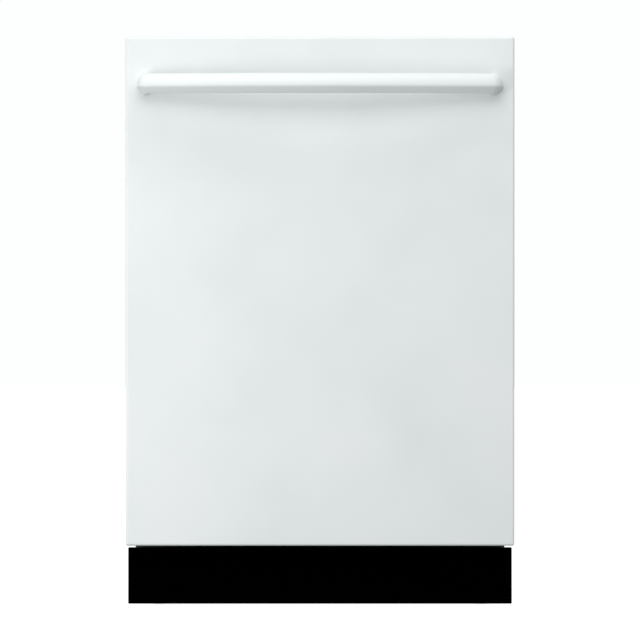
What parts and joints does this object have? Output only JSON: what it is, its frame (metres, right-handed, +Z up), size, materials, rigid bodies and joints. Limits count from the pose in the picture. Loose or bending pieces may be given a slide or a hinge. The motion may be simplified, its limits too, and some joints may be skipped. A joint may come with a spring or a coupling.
{
  "type": "built in dishwasher",
  "caption": "Fully integrated dishwasher with a white door, a bowed bar handle, a steel tub, two pull-out wire racks, spray arms and a recessed black toe kick.",
  "frame": {"origin": "on the floor, at the middle of the overall box in plan", "axes": "+X to the right seen from the front, +Y to the back, +Z up; the door faces -Y"},
  "size_m": [0.598, 0.66, 0.876],
  "materials": {
    "white_enamel": "glossy white baked enamel on sheet steel",
    "white_plastic": "white moulded plastic, satin",
    "button_plastic": "light grey moulded keys",
    "black_paint": "matte black paint",
    "stainless": "brushed stainless steel",
    "galvanised": "zinc-coated sheet, dull spangle",
    "spring_steel": "drawn spring steel wire and pressings",
    "base_plastic": "black moulded polypropylene",
    "dark_plastic": "dark grey moulded plastic",
    "grey_plastic": "mid grey moulded plastic",
    "felt": "needled grey cotton felt",
    "bitumen": "black bitumen sheet",
    "rubber": "dark grey extruded rubber",
    "wire_coat": "light grey nylon-coated wire"
  },
  "bodies": {
    "cabinet": {"tub": "stainless", "wheel_track": "stainless", "door_gasket": "rubber", "sound_blanket": "felt", "side_frame_left": "galvanised", "side_frame_right": "galvanised", "counter_spring_left": "spring_steel", "counter_spring_right": "spring_steel", "striker": "spring_steel", "worktop_bracket_left": "galvanised", "worktop_bracket_right": "galvanised", "base_tray": "base_plastic", "toe_kick": "black_paint", "sump": "dark_plastic", "fine_filter": "stainless", "circulation_pump": "base_plastic", "drain_pump": "dark_plastic", "inlet_valve": "grey_plastic", "junction_box": "galvanised", "feed_duct": "grey_plastic", "rail_rollers_left": "grey_plastic", "rail_rollers_right": "grey_plastic"},
    "door": {"door_panel": "white_enamel", "door_sound_mat": "bitumen", "door_liner": "stainless", "control_strip": "white_plastic", "latch_case": "dark_plastic", "handle_bar": "white_enamel", "handle_post_left": "white_enamel", "handle_post_right": "white_enamel", "dispenser_body": "dark_plastic", "hinge_arm_left": "galvanised", "hinge_arm_right": "galvanised"},
    "power_key": {"power_button": "button_plastic"},
    "cycle_key_1": {"cycle_button_1": "button_plastic"},
    "cycle_key_2": {"cycle_button_2": "button_plastic"},
    "cycle_key_3": {"cycle_button_3": "button_plastic"},
    "start_key": {"start_button": "button_plastic"},
    "pawl": {"latch_pawl": "spring_steel"},
    "detergent_lid": {"dispenser_lid": "grey_plastic"},
    "rinse_cap": {"rinse_aid_cap": "grey_plastic"},
    "foot_fl": {"foot_front_left": "dark_plastic"},
    "foot_fr": {"foot_front_right": "dark_plastic"},
    "foot_rl": {"foot_rear_left": "dark_plastic"},
    "foot_rr": {"foot_rear_right": "dark_plastic"},
    "filter": {"filter_cup": "grey_plastic"},
    "lower_arm": {"lower_spray_arm": "grey_plastic"},
    "lower_basket": {"lower_rack": "wire_coat"},
    "wheel_fl": {"rack_wheel_front_left": "grey_plastic"},
    "wheel_fr": {"rack_wheel_front_right": "grey_plastic"},
    "wheel_rl": {"rack_wheel_rear_left": "grey_plastic"},
    "wheel_rr": {"rack_wheel_rear_right": "grey_plastic"},
    "front_tines": {"folding_tines_front": "wire_coat"},
    "rear_tines": {"folding_tines_rear": "wire_coat"},
    "cutlery": {"cutlery_basket": "dark_plastic"},
    "upper_basket": {"upper_rack": "wire_coat", "upper_feed_tube": "grey_plastic"},
    "upper_arm": {"upper_spray_arm": "grey_plastic"},
    "left_rail": {"slide_rail_left": "stainless"},
    "right_rail": {"slide_rail_right": "stainless"}
  },
  "joints": [
    {"name": "door_hinge", "type": "hinge", "parent": "cabinet", "child": "door", "pos_m": [0, -0.252, 0.128], "axis": [1, 0, 0], "range_deg": [0, 90], "stiffness_Nm_per_rad": 22},
    {"name": "upper_rack_slide", "type": "slide", "parent": "cabinet", "child": "upper_basket", "axis": [0, -1, 0], "range_m": [0, 0.45]},
    {"name": "left_rail_slide", "type": "slide", "parent": "cabinet", "child": "left_rail", "axis": [0, -1, 0], "range_m": [0, 0.225]},
    {"name": "right_rail_slide", "type": "slide", "parent": "cabinet", "child": "right_rail", "axis": [0, -1, 0], "range_m": [0, 0.225]},
    {"name": "lower_rack_slide", "type": "slide", "parent": "cabinet", "child": "lower_basket", "axis": [0, -1, 0], "range_m": [0, 0.15]},
    {"name": "wheel_fl_spin", "type": "hinge", "parent": "lower_basket", "child": "wheel_fl", "pos_m": [-0.252, -0.088, 0.1883], "axis": [1, 0, 0], "range_deg": [0, 480]},
    {"name": "wheel_fr_spin", "type": "hinge", "parent": "lower_basket", "child": "wheel_fr", "pos_m": [0.252, -0.088, 0.1883], "axis": [1, 0, 0], "range_deg": [0, 480]},
    {"name": "wheel_rl_spin", "type": "hinge", "parent": "lower_basket", "child": "wheel_rl", "pos_m": [-0.252, 0.18, 0.1883], "axis": [1, 0, 0], "range_deg": [0, 480]},
    {"name": "wheel_rr_spin", "type": "hinge", "parent": "lower_basket", "child": "wheel_rr", "pos_m": [0.252, 0.18, 0.1883], "axis": [1, 0, 0], "range_deg": [0, 480]},
    {"name": "front_tines_fold", "type": "hinge", "parent": "lower_basket", "child": "front_tines", "pos_m": [0, -0.04, 0.2102], "axis": [-1, 0, 0], "range_deg": [0, 86]},
    {"name": "rear_tines_fold", "type": "hinge", "parent": "lower_basket", "child": "rear_tines", "pos_m": [0, 0.056, 0.2102], "axis": [-1, 0, 0], "range_deg": [0, 86]},
    {"name": "cutlery_lift", "type": "slide", "parent": "lower_basket", "child": "cutlery", "axis": [0, 0, 1], "range_m": [0, 0.12]},
    {"name": "lower_arm_spin", "type": "hinge", "parent": "cabinet", "child": "lower_arm", "pos_m": [0, 0.04, 0.169], "axis": [0, 0, 1], "continuous": true},
    {"name": "upper_arm_spin", "type": "hinge", "parent": "upper_basket", "child": "upper_arm", "pos_m": [0, 0.04, 0.512], "axis": [0, 0, 1], "continuous": true},
    {"name": "filter_twist", "type": "hinge", "parent": "cabinet", "child": "filter", "pos_m": [0.085, -0.005, 0.1363], "axis": [0, 0, 1], "range_deg": [0, 90]},
    {"name": "detergent_lid_slide", "type": "slide", "parent": "door", "child": "detergent_lid", "axis": [1, 0, 0], "range_m": [0, 0.075]},
    {"name": "rinse_cap_turn", "type": "hinge", "parent": "door", "child": "rinse_cap", "pos_m": [0.082, -0.205, 0.535], "axis": [0, 1, 0], "range_deg": [0, 90]},
    {"name": "pawl_tilt", "type": "hinge", "parent": "door", "child": "pawl", "pos_m": [0, -0.235, 0.8655], "axis": [1, 0, 0], "range_deg": [0, 12], "stiffness_Nm_per_rad": 0.2, "springref_deg": -17.19},
    {"name": "power_press", "type": "slide", "parent": "door", "child": "power_key", "axis": [0, 0, -1], "range_m": [0, 0.0012], "stiffness_N_per_m": 300, "springref_m": -0.002},
    {"name": "cycle_1_press", "type": "slide", "parent": "door", "child": "cycle_key_1", "axis": [0, 0, -1], "range_m": [0, 0.0012], "stiffness_N_per_m": 300, "springref_m": -0.002},
    {"name": "cycle_2_press", "type": "slide", "parent": "door", "child": "cycle_key_2", "axis": [0, 0, -1], "range_m": [0, 0.0012], "stiffness_N_per_m": 300, "springref_m": -0.002},
    {"name": "cycle_3_press", "type": "slide", "parent": "door", "child": "cycle_key_3", "axis": [0, 0, -1], "range_m": [0, 0.0012], "stiffness_N_per_m": 300, "springref_m": -0.002},
    {"name": "start_press", "type": "slide", "parent": "door", "child": "start_key", "axis": [0, 0, -1], "range_m": [0, 0.0012], "stiffness_N_per_m": 300, "springref_m": -0.002},
    {"name": "foot_fl_turn", "type": "hinge", "parent": "cabinet", "child": "foot_fl", "pos_m": [-0.25, -0.156, 0.03], "axis": [0, 0, 1], "continuous": true},
    {"name": "foot_fr_turn", "type": "hinge", "parent": "cabinet", "child": "foot_fr", "pos_m": [0.25, -0.156, 0.03], "axis": [0, 0, 1], "continuous": true},
    {"name": "foot_rl_turn", "type": "hinge", "parent": "cabinet", "child": "foot_rl", "pos_m": [-0.25, 0.278, 0.03], "axis": [0, 0, 1], "continuous": true},
    {"name": "foot_rr_turn", "type": "hinge", "parent": "cabinet", "child": "foot_rr", "pos_m": [0.25, 0.278, 0.03], "axis": [0, 0, 1], "continuous": true}
  ],
  "couplings": [
    {"joint": "upper_rack_slide", "follows": "door_hinge", "m_per_rad": 0.286},
    {"joint": "left_rail_slide", "follows": "door_hinge", "m_per_rad": 0.143},
    {"joint": "right_rail_slide", "follows": "door_hinge", "m_per_rad": 0.143},
    {"joint": "lower_rack_slide", "follows": "door_hinge", "m_per_rad": 0.095},
    {"joint": "wheel_fl_spin", "follows": "door_hinge", "ratio": 5.278},
    {"joint": "wheel_fr_spin", "follows": "door_hinge", "ratio": 5.278},
    {"joint": "wheel_rl_spin", "follows": "door_hinge", "ratio": 5.278},
    {"joint": "wheel_rr_spin", "follows": "door_hinge", "ratio": 5.278}
  ]
}
